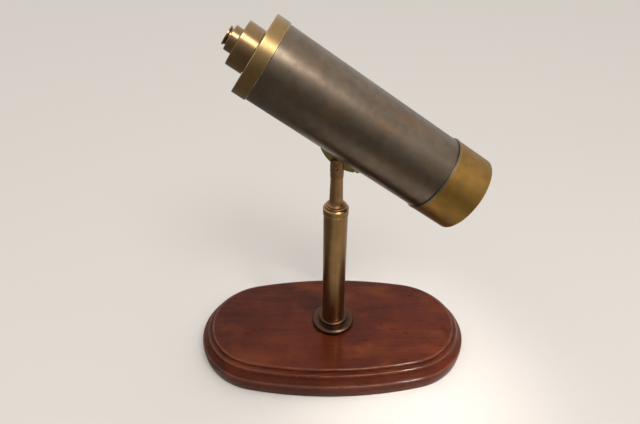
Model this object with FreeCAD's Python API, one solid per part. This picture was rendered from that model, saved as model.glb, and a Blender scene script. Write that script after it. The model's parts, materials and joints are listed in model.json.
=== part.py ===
"""Table telescope: a short brass spyglass on a swivelling post and an oval moulded base.

Millimetres, +Z up.  The origin is the middle of the felt that the base stands on.  The base is long
along X.  The optical axis is tilted, objective end down, and turned a little about the column.
"""

import FreeCAD, Part
import math
import os

from FreeCAD import Placement, Rotation, Vector

os.makedirs("parts", exist_ok=True)

# ---------------------------------------------------------------- driving dimensions

# base
base_half_length = 142.0
base_half_width = 78.0
base_end_radius = 70.0
base_height = 29.0
moulding_width = 11.6
felt_thickness = 1.0
felt_inset = 4.5

# column
column_radius = 11.56
column_wall = 1.5
column_bottom = base_height + 2.0
collar_bottom = 171.5
collar_top = 179.6
collar_radius = 12.1
bolt_radius = 4.0

# swivelling post
journal_radius = 5.0
running_gap = 0.05
post_foot = 179.9
post_foot_radius = 10.2
rod_top = 211.5
pivot_height = 224.3
head_radius = 6.6
head_round = 6.5
slot_half_width = 2.45
pivot_radius = 2.0

# set of the telescope at rest
tilt = 33.4
yaw = -6.1
axis_height = 275.2
saddle_place = 28.0

# telescope, along its axis: negative towards the eye
barrel_radius = 34.05
barrel_wall = 1.15
barrel_back = -69.0
barrel_front = 111.5
brass_radius = 35.15
end_face = -81.6
hood_back = 101.5
hood_front = 135.7
lip_width = 1.6
lip_radius = 35.5

draw_1_radius = 17.5
draw_1_wall = 0.9
draw_1_face = -96.4
draw_1_end = 70.0
draw_1_collar_radius = 19.5
draw_2_radius = 9.6
draw_2_wall = 0.7
draw_2_face = -103.2
draw_2_end = 10.0
draw_2_collar_radius = 10.8
collar_gap = 0.4
eye_face = -106.4
eye_cup_radius = 8.2

guide_1_end = -50.0
guide_2_end = -75.0
stop_width = 4.8

# ---------------------------------------------------------------- frames

across = Vector(0, 1, 0)
up = Vector(0, 0, 1)
post_turn = Rotation(up, yaw)
post_frame = Placement(Vector(0, 0, 0), post_turn)
barrel_frame = Placement(Vector(0, 0, axis_height), post_turn * Rotation(across, tilt))

# the pivot, seen from the telescope's own axis
pivot_drop = (axis_height - pivot_height) * math.cos(math.radians(tilt))
pivot_place = (axis_height - pivot_height) * math.sin(math.radians(tilt))

# ---------------------------------------------------------------- drawing helpers


def rounded_edges(corners, closed):
    """Edges through (u, v) corners; a third value rounds that corner to the radius it gives."""
    points = [Vector(corner[0], corner[1], 0) for corner in corners]
    radii = [corner[2] if len(corner) == 3 else 0.0 for corner in corners]
    count = len(points)
    stretches = []
    for i, point in enumerate(points):
        inner = closed or 0 < i < count - 1
        if radii[i] == 0.0 or not inner:
            stretches.append((point, None, point))
            continue
        back = (points[i - 1] - point).normalize()
        ahead = (points[(i + 1) % count] - point).normalize()
        half = back.getAngle(ahead) / 2
        bisector = (back + ahead).normalize()
        reach = radii[i] / math.tan(half)
        depth = radii[i] / math.sin(half) - radii[i]
        stretches.append((point + back * reach, point + bisector * depth, point + ahead * reach))
    edges = []
    for i in range(count):
        start, middle, end = stretches[i]
        if middle:
            edges.append(Part.Arc(start, middle, end).toShape())
        if i == count - 1 and not closed:
            break
        following = stretches[(i + 1) % count][0]
        if end.distanceToPoint(following) > 1e-6:
            edges.append(Part.LineSegment(end, following).toShape())
    return edges


def turned(corners):
    """A solid of revolution about Z from (radius, height) corners."""
    outline = Part.Wire(rounded_edges(corners, True))
    outline.rotate(Vector(0, 0, 0), Vector(1, 0, 0), 90)
    return Part.Face(outline).revolve(Vector(0, 0, 0), up, 360)


def laid(shape):
    """Lays a piece turned about Z along X, so that its height becomes the place along the axis."""
    shape.rotate(Vector(0, 0, 0), across, 90)
    return shape


def ring(inner, outer, start, end, edge=0.0):
    """A plain ring along X, its outer edges rounded to the radius given."""
    return laid(turned([(inner, start), (outer, start, edge), (outer, end, edge), (inner, end)]))


def bar(radius, start, end, edge=0.0):
    """A plain round bar along X."""
    return laid(turned([(0, start), (radius, start, edge), (radius, end, edge), (0, end)]))


def lens(radius, rear, front, rear_sag, front_sag):
    """A lens along X; a positive sag bulges out of its edge and a negative one dishes in."""

    def surface(place, sag):
        vertex = Vector(place + sag, 0, 0)
        rim = Vector(place, 0, radius)
        if sag == 0.0:
            return Part.LineSegment(vertex, rim).toShape()
        sphere = (radius**2 + sag**2) / (2 * abs(sag))
        drop = sphere - math.sqrt(sphere**2 - radius**2 / 4)
        middle = Vector(place + sag - math.copysign(drop, sag), 0, radius / 2)
        return Part.Arc(vertex, middle, rim).toShape()

    back = surface(rear, -rear_sag)
    face = surface(front, front_sag)
    edge = Part.LineSegment(Vector(rear, 0, radius), Vector(front, 0, radius)).toShape()
    middle_line = Part.LineSegment(Vector(rear - rear_sag, 0, 0), Vector(front + front_sag, 0, 0)).toShape()
    outline = Part.Wire(Part.__sortEdges__([back, edge, face, middle_line]))
    return Part.Face(outline).revolve(Vector(0, 0, 0), Vector(1, 0, 0), 360)


def hexagon(across_flats, bottom, top):
    """A hexagonal prism standing on Z with its top and bottom edges turned down."""
    radius = across_flats / math.sqrt(3)
    corners = [Vector(radius, 0, bottom)]
    for k in range(1, 7):
        angle = math.radians(60 * k)
        corners.append(Vector(radius * math.cos(angle), radius * math.sin(angle), bottom))
    prism = Part.Face(Part.makePolygon(corners)).extrude(Vector(0, 0, top - bottom))
    chamfer = radius - across_flats / 2
    skirt = turned([(0, bottom), (radius - chamfer, bottom), (radius, bottom + chamfer / 2),
                    (radius, top - chamfer / 2), (radius - chamfer, top), (0, top)])
    return prism.common(skirt)


def cylinder(radius, start, end, axis=up):
    """A bare cylinder on the line through the origin along the axis."""
    return Part.makeCylinder(radius, end - start, axis * start, axis)


def keep(node, shape, frame=None):
    """Writes one node, checking that it is a valid closed solid or a group of them."""
    shape = shape.copy()
    if frame:
        shape.transformShape(frame.toMatrix())
    if not shape.isValid() or not shape.Solids:
        raise ValueError(node + " is not a valid solid")
    if len(shape.Solids) == 1:
        shape = shape.Solids[0]
    shape.exportStep("parts/" + node + ".step")
    box = shape.BoundBox
    print(f"{node:26s} {len(shape.Solids)} solid(s) {shape.Volume:11.1f} mm3  "
          f"x {box.XMin:.1f}..{box.XMax:.1f}  y {box.YMin:.1f}..{box.YMax:.1f}  z {box.ZMin:.1f}..{box.ZMax:.1f}")


# ---------------------------------------------------------------- base


def oval_arcs():
    """The outline's four tangent arcs, each as (centre, radius, first angle, last angle)."""
    end_centre = base_half_length - base_end_radius
    side_radius = (end_centre**2 + base_half_width**2 - base_end_radius**2) / (
        2 * (base_half_width - base_end_radius))
    side_centre = side_radius - base_half_width
    reach = math.degrees(math.atan2(side_centre, end_centre))
    return [
        (Vector(end_centre, 0, 0), base_end_radius, -reach, reach),
        (Vector(0, -side_centre, 0), side_radius, reach, 180 - reach),
        (Vector(-end_centre, 0, 0), base_end_radius, 180 - reach, 180 + reach),
        (Vector(0, side_centre, 0), side_radius, 180 + reach, 360 - reach),
    ]


def oval_face(inset, height):
    """The oval, drawn in from the outline by the inset, as a flat face."""
    edges = []
    for centre, radius, first, last in oval_arcs():
        circle = Part.Circle(Vector(centre.x, centre.y, height), up, radius - inset)
        edges.append(circle.toShape(math.radians(first), math.radians(last)))
    return Part.Face(Part.Wire(edges))


def base_plinth():
    """The moulded plinth: its edge profile run round the four arcs and closed above and below.

    From the top down: a small upright step, a ledge with a rounded nose, a hollow and a bellied edge.
    """
    flat = moulding_width + 6.0
    moulding = [
        (flat, base_height),
        (moulding_width, base_height, 1.5),
        (moulding_width, base_height - 3.2, 0.5),
        (7.2, base_height - 4.2, 1.4),
        (6.9, base_height - 8.6, 6.0),
        (4.4, base_height - 11.9, 6.0),
        (0.3, base_height - 12.9, 1.8),
        (0.0, 9.0, 30.0),
        (1.2, felt_thickness, 1.0),
        (flat, felt_thickness),
    ]
    faces = [oval_face(flat, base_height), oval_face(flat, felt_thickness)]
    for centre, radius, first, last in oval_arcs():
        corners = [(radius - corner[0],) + corner[1:] for corner in moulding]
        profile = Part.Wire(rounded_edges(corners, False))
        profile.rotate(Vector(0, 0, 0), Vector(1, 0, 0), 90)
        profile.rotate(Vector(0, 0, 0), up, first)
        profile.translate(centre)
        faces += profile.revolve(centre, up, last - first).Faces
    shell = Part.Shell(faces)
    shell.sewShape()
    plinth = Part.Solid(Part.Shell(shell.Faces))
    if plinth.Volume < 0:
        plinth.reverse()
    plinth = plinth.removeSplitter()
    plinth = plinth.cut(cylinder(bolt_radius + 0.3, 0, base_height + 1))
    return plinth.cut(cylinder(10.0, 0, 9.9))


def stand():
    """The base, the felt under it and the column bolted to it."""
    keep("base_plinth", base_plinth())
    keep("base_felt", oval_face(felt_inset, 0).extrude(Vector(0, 0, felt_thickness)))

    bolt_top = column_bottom + 26.0
    head = hexagon(13.0, 3.0, 8.3)
    keep("column_bolt", head.fuse(turned([(0, 8.3), (bolt_radius, 8.3), (bolt_radius, bolt_top, 0.8), (0, bolt_top)])))
    keep("bolt_washer", turned([(bolt_radius, 8.3), (8.5, 8.3, 0.3), (8.5, 9.9, 0.3), (bolt_radius, 9.9)]))

    bore = column_radius - column_wall
    keep("foot_flange", turned([
        (bolt_radius + 0.3, base_height),
        (22.0, base_height, 0.8),
        (22.0, base_height + 6.0, 3.0),
        (15.6, base_height + 6.0, 0.3),
        (14.2, base_height + 6.6),
        (15.4, base_height + 7.0, 0.8),
        (15.4, base_height + 10.9, 2.6),
        (column_radius, base_height + 10.9),
        (column_radius, column_bottom),
        (bolt_radius + 0.3, column_bottom),
    ]))
    keep("column_plug", turned([
        (bolt_radius, column_bottom),
        (bore, column_bottom),
        (bore, column_bottom + 30.0, 1.0),
        (bolt_radius, column_bottom + 30.0),
    ]))
    keep("column_tube", turned([
        (bore, column_bottom),
        (column_radius, column_bottom),
        (column_radius, collar_bottom),
        (bore, collar_bottom),
    ]))
    keep("column_collar", turned([
        (7.5, collar_bottom - 9.5),
        (bore, collar_bottom - 9.5, 0.5),
        (bore, collar_bottom),
        (collar_radius, collar_bottom, 0.3),
        (collar_radius, collar_bottom + 1.7),
        (collar_radius - 0.35, collar_bottom + 2.0),
        (collar_radius, collar_bottom + 2.3),
        (collar_radius, collar_top - 1.4, 0.6),
        (10.8, collar_top, 0.3),
        (7.5, collar_top),
    ]))
    keep("swivel_bush", turned([
        (journal_radius + running_gap, post_foot - 19.9),
        (7.5, post_foot - 19.9),
        (7.5, post_foot - running_gap),
        (journal_radius + running_gap, post_foot - running_gap),
    ]))


# ---------------------------------------------------------------- post


def fork_head():
    """The slotted head that holds the tongue: a neck, a round-topped head and a cross hole."""
    neck = turned([
        (0, rod_top),
        (6.1, rod_top, 0.3),
        (6.1, rod_top + 5.9),
        (head_radius, rod_top + 6.5),
        (head_radius, pivot_height + head_radius),
        (0, pivot_height + head_radius),
    ])
    pivot = Vector(0, 0, pivot_height)
    below = Part.makeBox(40, 40, pivot_height - rod_top + 10, Vector(-20, -20, rod_top - 10))
    dome = Part.makeCylinder(head_round, 40, pivot - across * 20, across)
    head = neck.common(below.fuse(dome))
    slot = Part.makeBox(40, 2 * slot_half_width, 40, Vector(-20, -slot_half_width, pivot_height - 7.5))
    head = head.cut(slot)
    head = head.cut(Part.makeCylinder(pivot_radius, 12.9, pivot - across * 6.9, across))
    head = head.cut(Part.makeCylinder(3.1, 4.0, pivot - across * 9.2, across))
    return head.cut(cylinder(3.5, rod_top - 1, rod_top + 3.5))


def pivot_screw():
    """The slotted screw across the fork, its head sunk in the near cheek."""
    screw = turned([(0, -6.3), (3.0, -6.3, 0.5), (3.0, -5.2), (pivot_radius, -5.2), (pivot_radius, 6.0), (0, 6.0)])
    screw = screw.cut(Part.makeBox(8, 0.9, 0.7, Vector(-4, -0.45, -6.4)))
    screw.rotate(Vector(0, 0, 0), Vector(1, 0, 0), -90)
    screw.rotate(Vector(0, 0, 0), across, 35)
    screw.translate(Vector(0, 0, pivot_height))
    return screw


def post():
    """The post that turns in the column's collar, with the fork on its top."""
    shoulder = post_foot - 20.0
    nut_top = shoulder - 1.5
    thread = 3.0
    keep("post_rod", turned([
        (0, shoulder - 10.9),
        (thread, shoulder - 10.9, 0.5),
        (thread, shoulder),
        (journal_radius, shoulder, 0.2),
        (journal_radius, post_foot),
        (post_foot_radius, post_foot, 0.4),
        (post_foot_radius, post_foot + 1.5, 0.5),
        (8.9, post_foot + 1.5, 0.2),
        (8.7, post_foot + 2.7, 0.4),
        (7.4, post_foot + 3.7, 1.5),
        (6.4, post_foot + 6.1, 4.0),
        (5.68, rod_top - 0.4),
        (5.68, rod_top),
        (3.5, rod_top),
        (3.5, rod_top + 3.5, 0.5),
        (0, rod_top + 3.5),
    ]), post_frame)
    keep("post_washer", turned([
        (thread, nut_top), (7.2, nut_top, 0.3), (7.2, shoulder, 0.3), (thread, shoulder)]), post_frame)
    nut = hexagon(10.0, nut_top - 5.0, nut_top)
    keep("post_nut", nut.cut(cylinder(thread, nut_top - 6.0, nut_top + 1.0)), post_frame)
    keep("fork_head", fork_head(), post_frame)
    keep("pivot_screw", pivot_screw(), post_frame)

    washers = []
    for side in (1, -1):
        washer = turned([(pivot_radius, 1.95), (5.0, 1.95, 0.1), (5.0, slot_half_width), (pivot_radius, slot_half_width)])
        washer.rotate(Vector(0, 0, 0), Vector(1, 0, 0), -90 * side)
        washer.translate(Vector(0, 0, pivot_height))
        washers.append(washer)
    keep("friction_washers", Part.makeCompound(washers), post_frame)


# ---------------------------------------------------------------- barrel

plate_radius = barrel_radius + 1.5
rivet_angle = 12.0
rivet_spread = 16.0
rivet_radius = 1.2


def rivet_places():
    """Place along the axis and angle about it, for each of the four saddle rivets."""
    return [(pivot_place + along * rivet_spread, side * rivet_angle) for along in (-1, 1) for side in (-1, 1)]


def radial_bar(radius, inner, outer, place, angle):
    """A bar that points out of the telescope's axis, downwards at angle zero."""
    piece = Part.makeCylinder(radius, outer - inner, Vector(place, 0, -inner), Vector(0, 0, -1))
    piece.rotate(Vector(place, 0, 0), Vector(1, 0, 0), angle)
    return piece


def saddle_plate():
    """The curved oval plate that lies along the underside of the tube."""
    oval = Part.Ellipse(Vector(pivot_place, 0, 0), 23.0, 14.0).toShape()
    column = Part.Face(Part.Wire(oval)).extrude(Vector(0, 0, -60))
    plate = ring(barrel_radius, plate_radius, pivot_place - 30, pivot_place + 30).common(column)
    for place, angle in rivet_places():
        plate = plate.cut(radial_bar(rivet_radius, 30, 40, place, angle))
    return plate


def saddle_tongue():
    """The upright blade under the saddle, a segment of a disc with a boss round the pivot."""
    half_thickness = 1.9
    blade_radius = 36.0
    blade_depth = barrel_radius + 10.2
    blade_back = 21.0
    blade_front = 16.5
    lift = blade_radius - blade_depth
    disc = Part.makeCylinder(
        blade_radius, 2 * half_thickness, Vector(pivot_place, -half_thickness, lift), across)
    span = Part.makeBox(
        blade_back + blade_front, 2 * half_thickness, 30,
        Vector(pivot_place - blade_back, -half_thickness, -55))
    blade = disc.common(span)
    corners = [edge for edge in blade.Edges
               if abs(edge.CenterOfMass.y) < 1e-6 and edge.Length < 2 * half_thickness + 1e-3
               and edge.CenterOfMass.z < -barrel_radius]
    blade = blade.makeFillet(2.5, corners)
    pivot = Vector(pivot_place, -half_thickness, -pivot_drop)
    blade = blade.fuse(Part.makeCylinder(5.5, 2 * half_thickness, pivot, across)).removeSplitter()
    blade = blade.cut(bar(plate_radius, pivot_place - 40, pivot_place + 40))
    return blade.cut(Part.makeCylinder(pivot_radius + running_gap, 10, pivot - across * 2, across))


def saddle_rivets():
    """Four rivets through the saddle and the tube wall, a dome outside and a clench inside."""
    rivets = []
    bore = barrel_radius - barrel_wall
    hollow = ring(bore, plate_radius, pivot_place - 40, pivot_place + 40)
    for place, angle in rivet_places():
        clench = radial_bar(2.0, bore - 0.8, bore + 0.5, place, angle)
        dome = turned([(0, 0), (2.2, 0), (2.2, 1.0), (1.5, 1.7), (0, 1.9)])
        dome.rotate(Vector(0, 0, 0), Vector(1, 0, 0), 180)
        dome.translate(Vector(place, 0, -plate_radius + 0.4))
        dome.rotate(Vector(place, 0, 0), Vector(1, 0, 0), angle)
        ends = clench.fuse(dome).cut(hollow)
        shank = radial_bar(rivet_radius, bore - 0.5, plate_radius + 0.2, place, angle)
        rivets.append(ends.fuse(shank).removeSplitter())
    return Part.makeCompound(rivets)


def barrel():
    """The main tube with its brass ends, the objective, the draw guide and the saddle."""
    bore = barrel_radius - barrel_wall
    keep("saddle_plate", saddle_plate(), barrel_frame)
    keep("saddle_tongue", saddle_tongue(), barrel_frame)
    keep("saddle_rivets", saddle_rivets(), barrel_frame)

    tube = ring(bore, barrel_radius, barrel_back, barrel_front)
    for place, angle in rivet_places():
        tube = tube.cut(radial_bar(rivet_radius, 30, 40, place, angle))
    keep("barrel_tube", tube, barrel_frame)
    keep("barrel_lip_ring", ring(barrel_radius, lip_radius, hood_back - lip_width, hood_back, 0.5), barrel_frame)

    keep("barrel_end_collar", laid(turned([
        (19.0, end_face),
        (brass_radius, end_face, 0.9),
        (brass_radius, barrel_back, 0.5),
        (bore, barrel_back),
        (bore, barrel_back + 9, 0.4),
        (bore - 1.8, barrel_back + 9, 0.4),
        (bore - 1.8, end_face + 4),
        (19.0, end_face + 4),
    ])), barrel_frame)
    keep("draw_guide", ring(draw_1_radius + running_gap, 19.0, end_face + 0.4, guide_1_end), barrel_frame)
    keep("light_stop", ring(25.0, bore, 92.0, 93.0), barrel_frame)

    keep("objective_hood", laid(turned([
        (barrel_radius, hood_back),
        (brass_radius, hood_back, 0.5),
        (brass_radius, hood_front, 0.7),
        (brass_radius - 1.9, hood_front, 0.5),
        (brass_radius - 1.9, hood_front - 1.6),
        (barrel_radius, hood_front - 2.4),
    ])), barrel_frame)
    glass_radius = 29.5
    seat = 27.5
    keep("objective_cell", laid(turned([
        (seat, 104.0),
        (bore, 104.0, 0.4),
        (bore, barrel_front),
        (barrel_radius, barrel_front),
        (barrel_radius, 114.4, 0.5),
        (glass_radius, 114.4),
        (glass_radius, 106.0),
        (seat, 106.0),
    ])), barrel_frame)
    curve = 2.74
    keep("flint_lens", lens(glass_radius, 106.0, 110.2, 0.0, -curve), barrel_frame)
    keep("crown_lens", lens(glass_radius, 110.2, 112.4, curve, curve), barrel_frame)
    keep("objective_retaining_ring", laid(turned([
        (28.3, 112.75), (glass_radius, 112.75), (glass_radius, 114.4), (seat, 114.4), (seat, 113.2)])), barrel_frame)


# ---------------------------------------------------------------- draws


def draw_1():
    """The wide draw: a tube with its brass end, the guide for the slim draw and a stop ring."""
    bore = draw_1_radius - draw_1_wall
    wall = 2.0
    tube_back = draw_1_face + wall
    slim = draw_2_radius + running_gap
    keep("draw_1_tube", ring(bore, draw_1_radius, tube_back, draw_1_end), barrel_frame)
    keep("draw_1_collar", laid(turned([
        (11.0, draw_1_face),
        (draw_1_collar_radius, draw_1_face, 0.6),
        (draw_1_collar_radius, end_face - collar_gap, 0.4),
        (draw_1_radius, end_face - collar_gap),
        (draw_1_radius, tube_back),
        (11.0, tube_back),
    ])), barrel_frame)
    keep("draw_1_guide", laid(turned([
        (slim, draw_1_face + 0.4),
        (11.0, draw_1_face + 0.4),
        (11.0, tube_back),
        (bore, tube_back),
        (bore, tube_back + 4),
        (11.2, tube_back + 4, 0.5),
        (11.2, guide_2_end),
        (slim, guide_2_end),
    ])), barrel_frame)
    keep("draw_1_stop_ring", ring(draw_1_radius, 19.4, draw_1_end - stop_width, draw_1_end, 0.3), barrel_frame)


def draw_2():
    """The slim draw: the eyepiece at one end and the erecting lenses at the other."""
    bore = draw_2_radius - draw_2_wall
    wall = 2.0
    tube_back = draw_2_face + wall
    glass_radius = 7.5
    keep("draw_2_tube", ring(bore, draw_2_radius, tube_back, draw_2_end), barrel_frame)
    keep("draw_2_collar", laid(turned([
        (5.5, draw_2_face),
        (draw_2_collar_radius, draw_2_face, 0.5),
        (draw_2_collar_radius, draw_1_face - collar_gap, 0.4),
        (draw_2_radius, draw_1_face - collar_gap),
        (draw_2_radius, tube_back),
        (5.5, tube_back),
    ])), barrel_frame)
    keep("draw_2_stop_ring", ring(draw_2_radius, 11.3, draw_2_end - stop_width, draw_2_end, 0.3), barrel_frame)
    keep("eyepiece_cell", ring(glass_radius, bore, tube_back, tube_back + 22), barrel_frame)
    keep("eye_lens", lens(glass_radius, -98.5, -96.5, 0.0, 1.0), barrel_frame)
    keep("field_lens", lens(glass_radius, -83.5, -81.5, 0.0, 1.2), barrel_frame)
    keep("erector_cell", ring(glass_radius, bore, -14.0, 8.0), barrel_frame)
    pair = [lens(glass_radius, -11.0, -9.0, 1.0, 0.0), lens(glass_radius, 3.0, 5.0, 0.0, 1.0)]
    keep("erector_lenses", Part.makeCompound(pair), barrel_frame)
    keep("eye_cup", laid(turned([
        (2.6, tube_back),
        (5.5, tube_back),
        (5.5, draw_2_face),
        (7.0, draw_2_face),
        (7.0, eye_face + 1.6, 0.3),
        (eye_cup_radius, eye_face + 1.2, 0.3),
        (eye_cup_radius, eye_face, 0.3),
        (7.0, eye_face, 0.3),
        (2.6, eye_face + 1.9),
    ])), barrel_frame)


stand()
post()
barrel()
draw_1()
draw_2()
print(f"pivot at {pivot_place:.2f} along the axis, {pivot_drop:.2f} below it")
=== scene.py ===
import json
import math

import bmesh
import bpy
import numpy as np
from bpy.props import FloatProperty, FloatVectorProperty, IntProperty, PointerProperty
from mathutils import Matrix, Vector

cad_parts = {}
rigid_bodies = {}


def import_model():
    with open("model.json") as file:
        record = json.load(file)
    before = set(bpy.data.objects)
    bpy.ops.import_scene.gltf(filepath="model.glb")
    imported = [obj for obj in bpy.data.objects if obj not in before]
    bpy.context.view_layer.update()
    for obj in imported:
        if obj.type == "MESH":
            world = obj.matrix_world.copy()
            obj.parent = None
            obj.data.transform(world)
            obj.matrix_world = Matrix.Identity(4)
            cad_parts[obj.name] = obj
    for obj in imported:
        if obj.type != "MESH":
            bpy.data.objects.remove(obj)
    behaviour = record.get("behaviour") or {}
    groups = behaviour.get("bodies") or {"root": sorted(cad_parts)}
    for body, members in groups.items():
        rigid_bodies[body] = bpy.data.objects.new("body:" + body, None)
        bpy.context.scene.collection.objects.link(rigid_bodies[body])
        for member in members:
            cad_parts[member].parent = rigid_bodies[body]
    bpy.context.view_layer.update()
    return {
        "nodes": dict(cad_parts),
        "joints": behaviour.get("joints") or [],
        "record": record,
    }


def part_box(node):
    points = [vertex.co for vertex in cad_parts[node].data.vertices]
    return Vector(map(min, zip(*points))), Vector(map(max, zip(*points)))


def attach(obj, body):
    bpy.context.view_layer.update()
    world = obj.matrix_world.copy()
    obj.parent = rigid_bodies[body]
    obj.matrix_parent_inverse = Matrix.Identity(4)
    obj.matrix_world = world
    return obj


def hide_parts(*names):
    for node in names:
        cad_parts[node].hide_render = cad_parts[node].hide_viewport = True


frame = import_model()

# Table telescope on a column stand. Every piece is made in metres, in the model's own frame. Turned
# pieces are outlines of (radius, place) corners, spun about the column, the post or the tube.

bl_info = {
    "name": "Table Telescope",
    "version": (1, 0, 0),
    "blender": (4, 5, 0),
    "location": "View3D > Sidebar > Telescope",
    "description": "Builds a brass table telescope on its column and moulded base",
    "category": "Object",
}

MM = 0.001
TURN = 2 * math.pi
RUNNING_GAP = 0.05 * MM
AXLE = 0.05 * MM  # a solid piece starts this far from its line, so that no face shrinks to a point


# ---------------------------------------------------------------- settings


def colour(name, description, default):
    """A colour that the user can change."""
    return FloatVectorProperty(
        name=name, description=description, default=default, subtype="COLOR", size=3, min=0.0, max=1.0)


def share(name, description, default):
    """A value from nought to one that the user can change."""
    return FloatProperty(
        name=name, description=description, default=default, min=0.0, max=1.0, subtype="FACTOR")


def length(name, description, default):
    """A length that the user can change."""
    return FloatProperty(
        name=name, description=description, default=default, min=0.0, unit="LENGTH", precision=5)


def rotation(name, description, degrees):
    """An angle that the user can change."""
    return FloatProperty(
        name=name, description=description, default=math.radians(degrees), subtype="ANGLE", unit="ROTATION")


def brightness(name, description, default):
    """The strength of a light, which the user can change."""
    return FloatProperty(name=name, description=description, default=default, min=0.0)


class MetalSettings(bpy.types.PropertyGroup):
    """Colours and polish of the telescope's brass and bronze."""

    tube_bright: colour("Tube rubbed", "Bronze of the main tube", (0.190, 0.150, 0.112))
    tube_patina: colour("Tube patina", "Dark skin of the main tube", (0.092, 0.067, 0.048))
    tube_roughness: share("Tube roughness", "How matt the main tube is", 0.33)
    ends_bright: colour("Ends rubbed", "Brass of the end ring and the hood", (0.320, 0.220, 0.100))
    ends_patina: colour("Ends patina", "Amber skin on the end ring and the hood", (0.150, 0.086, 0.032))
    ends_roughness: share("Ends roughness", "How matt the end ring and the hood are", 0.30)
    hood_bright: colour("Hood rubbed", "Yellow brass of the hood", (0.302, 0.171, 0.038))
    hood_roughness: share("Hood roughness", "How matt the hood is", 0.45)
    draws_bright: colour("Draws rubbed", "Brass of the draws and the eye cup", (0.29, 0.190, 0.095))
    draws_patina: colour("Draws patina", "Brown skin on the draws", (0.120, 0.072, 0.036))
    draws_roughness: share("Draws roughness", "How matt the draws are", 0.24)
    column_bright: colour("Column rubbed", "Brass of the column", (0.290, 0.180, 0.075))
    column_patina: colour("Column patina", "Olive skin on the column", (0.140, 0.085, 0.036))
    post_bright: colour("Post rubbed", "Reddish bronze of the post", (0.350, 0.202, 0.098))
    post_patina: colour("Post patina", "Dark skin on the post", (0.155, 0.085, 0.041))
    foot_bright: colour("Foot rubbed", "Bronze of the stepped foot", (0.090, 0.046, 0.030))
    foot_patina: colour("Foot patina", "Dark skin on the stepped foot", (0.038, 0.019, 0.013))
    saddle_bright: colour("Saddle rubbed", "Yellow brass of the saddle", (0.240, 0.195, 0.075))
    saddle_patina: colour("Saddle patina", "Greenish skin on the saddle", (0.095, 0.076, 0.030))


class WoodSettings(bpy.types.PropertyGroup):
    """Colours and polish of the moulded base."""

    light: colour("Light wood", "Mahogany between the grain lines", (0.079, 0.0138, 0.0042))
    dark: colour("Dark wood", "Mahogany in the grain lines", (0.0265, 0.0046, 0.0020))
    amber: colour("Amber wood", "Mahogany where the varnish glows", (0.120, 0.0262, 0.0056))
    grain_length: length("Grain length", "How far a grain line runs along the base", 0.16)
    grain_width: length("Grain width", "How wide a band of grain is", 0.011)
    roughness: share("Polish", "Roughness of the polished wood", 0.30)


class BuildSettings(bpy.types.PropertyGroup):
    """How finely the pieces are made."""

    edge_break: length("Edge break", "Radius that takes off every sharp turned edge", 0.18 * MM)
    segments: IntProperty(
        name="Segments", description="Divisions round a turned piece", default=160, min=24, max=512)


class StageSettings(bpy.types.PropertyGroup):
    """The floor, the lights and the camera."""

    floor_colour: colour("Floor", "Plain pale floor", (0.60, 0.57, 0.54))
    backdrop: colour("Backdrop", "Pale room seen past the floor", (0.50, 0.48, 0.455))
    room_pale: colour("Pale room", "Light from above and behind", (0.97, 0.95, 0.92))
    room_dark: colour("Dim room", "Light from in front and below", (0.20, 0.185, 0.165))
    room_strength: brightness("Room light", "Strength of the room's light", 1.2)
    camera_place: FloatVectorProperty(
        name="Camera place", description="Where the camera stands", size=3,
        default=(-0.0250, -0.4063, 0.4510), subtype="TRANSLATION", unit="LENGTH")
    camera_drop: rotation("Camera drop", "How far down the camera looks", 34.38)
    camera_swing: rotation("Camera swing", "How far the camera turns to its right", 1.43)
    camera_roll: rotation("Camera roll", "How far the camera leans", 0.46)
    camera_lens: FloatProperty(
        name="Lens", description="Focal length, on a 36 mm wide sensor", default=29.59,
        subtype="DISTANCE_CAMERA")
    base_power: brightness("Base light", "Power of the narrow light on the base, in watts", 0.12)
    key_power: brightness("Key light", "Power of the soft key light, in watts", 7.2)


# ---------------------------------------------------------------- shader maths


class Value:
    """A socket that Python arithmetic works on; each operation adds a Math node."""

    def __init__(self, graph, socket):
        self.graph = graph
        self.socket = socket

    def maths(self, operation, first, second):
        return self.graph.add("ShaderNodeMath", {"operation": operation}, {0: first, 1: second})

    def __add__(self, other):
        return self.maths("ADD", self, other)

    def __radd__(self, other):
        return self.maths("ADD", other, self)

    def __sub__(self, other):
        return self.maths("SUBTRACT", self, other)

    def __rsub__(self, other):
        return self.maths("SUBTRACT", other, self)

    def __mul__(self, other):
        return self.maths("MULTIPLY", self, other)

    def __rmul__(self, other):
        return self.maths("MULTIPLY", other, self)


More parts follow.
